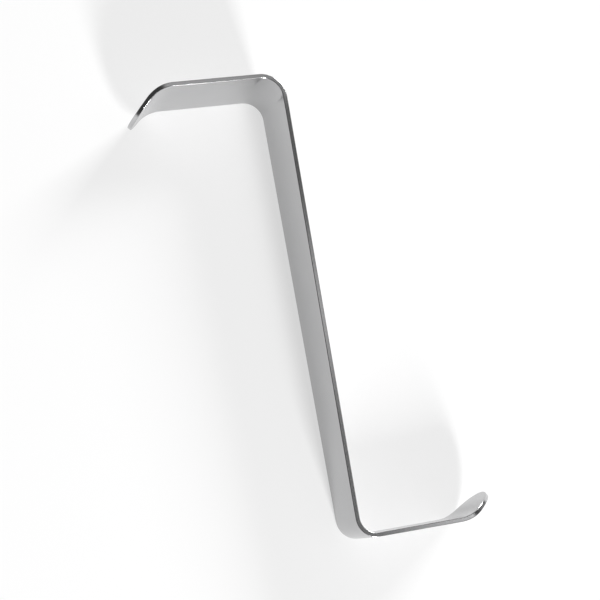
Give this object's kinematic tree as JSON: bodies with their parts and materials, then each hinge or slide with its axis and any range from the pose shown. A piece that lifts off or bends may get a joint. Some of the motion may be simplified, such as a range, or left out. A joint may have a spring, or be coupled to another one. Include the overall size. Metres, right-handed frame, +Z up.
{
  "type": "handheld surgical retractor",
  "caption": "Double-ended hand retractor bent from flat strip into a Z, wider at one end than at the other; the arms end in turned lips with rounded tips that hold back tissue.",
  "frame": {"origin": "on the surface the retractor lies on, under the middle of its box; the strip rests on one long edge", "axes": "+Y along the shaft towards the upper arm, +X the way the lower arm points, +Z up, across the width of the strip"},
  "size_m": [0.1046, 0.1618, 0.0275],
  "materials": {
    "satin_steel": "satin stainless steel, fine lengthwise grain, rim slightly brighter"
  },
  "bodies": {
    "root": {"retractor": "satin_steel"}
  },
  "joints": []
}
